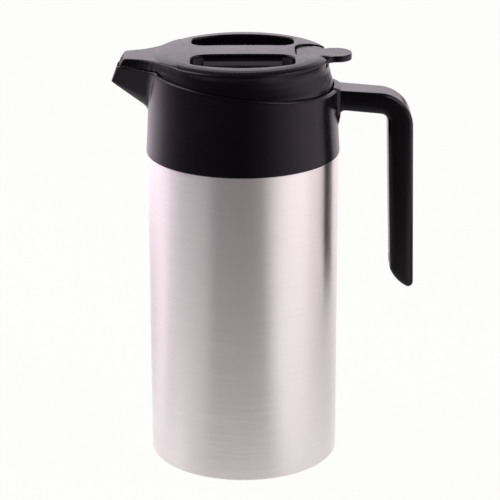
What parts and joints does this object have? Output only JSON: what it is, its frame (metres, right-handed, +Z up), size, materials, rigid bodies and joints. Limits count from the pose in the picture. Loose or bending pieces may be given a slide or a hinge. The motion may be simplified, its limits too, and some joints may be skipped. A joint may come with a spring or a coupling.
{
  "type": "thermal carafe",
  "caption": "Double-walled steel thermal carafe with a black collar, spout, open handle and turning lid, whose thumb lever opens a sprung pouring valve.",
  "frame": {"origin": "centre of the base, where the foot pad stands on the table, on the flask's axis", "axes": "+Z up along the flask's axis; the spout points to -X and the handle to +X; Y runs across"},
  "size_m": [0.1883, 0.1216, 0.2664],
  "materials": {
    "brushed_steel": "brushed",
    "liner_steel": "satin",
    "black_plastic": "satin",
    "lid_plastic": "satin",
    "handle_plastic": "semi gloss",
    "inner_plastic": "matte",
    "silicone": "matte",
    "foot_rubber": "matte",
    "screw_steel": "satin"
  },
  "bodies": {
    "carafe": {"outer_shell": "brushed_steel", "inner_liner": "liner_steel", "bottom_plate": "liner_steel", "vacuum_port_cap": "liner_steel", "base_cover": "black_plastic", "foot_pad": "foot_rubber", "collar": "black_plastic", "neck_gasket": "silicone", "neck_ring": "inner_plastic", "handle_shell": "handle_plastic", "handle_insert": "handle_plastic", "handle_screws": "screw_steel"},
    "stopper": {"stopper_cup": "inner_plastic", "stopper_gasket": "silicone", "stopper_cap": "inner_plastic", "retaining_clip": "screw_steel"},
    "valve": {"valve_stem": "inner_plastic", "valve_disc": "inner_plastic", "valve_seal": "silicone", "stem_head": "inner_plastic", "valve_spring": "screw_steel"},
    "lid": {"lid_cover": "lid_plastic", "lid_base": "inner_plastic", "lid_screws": "screw_steel", "lever_pin": "screw_steel"},
    "lever": {"thumb_lever": "lid_plastic"}
  },
  "joints": [
    {"name": "lid_lift", "type": "slide", "parent": "carafe", "child": "stopper", "axis": [0, 0, 1], "range_m": [0, 0.1]},
    {"name": "lid_turn", "type": "hinge", "parent": "stopper", "child": "lid", "pos_m": [0, 0, 0.25], "axis": [0, 0, 1], "range_deg": [0, 90]},
    {"name": "lever_press", "type": "hinge", "parent": "lid", "child": "lever", "pos_m": [0.04, 0, 0.2582], "axis": [0, 1, 0], "range_deg": [0, 5], "stiffness_Nm_per_rad": 2, "springref_deg": -5.73},
    {"name": "valve_lift", "type": "slide", "parent": "stopper", "child": "valve", "axis": [0, 0, 1], "range_m": [0, 0.004], "deforming": ["valve_spring"]}
  ],
  "couplings": [
    {"joint": "valve_lift", "follows": "lever_press", "m_per_rad": 0.0455}
  ]
}
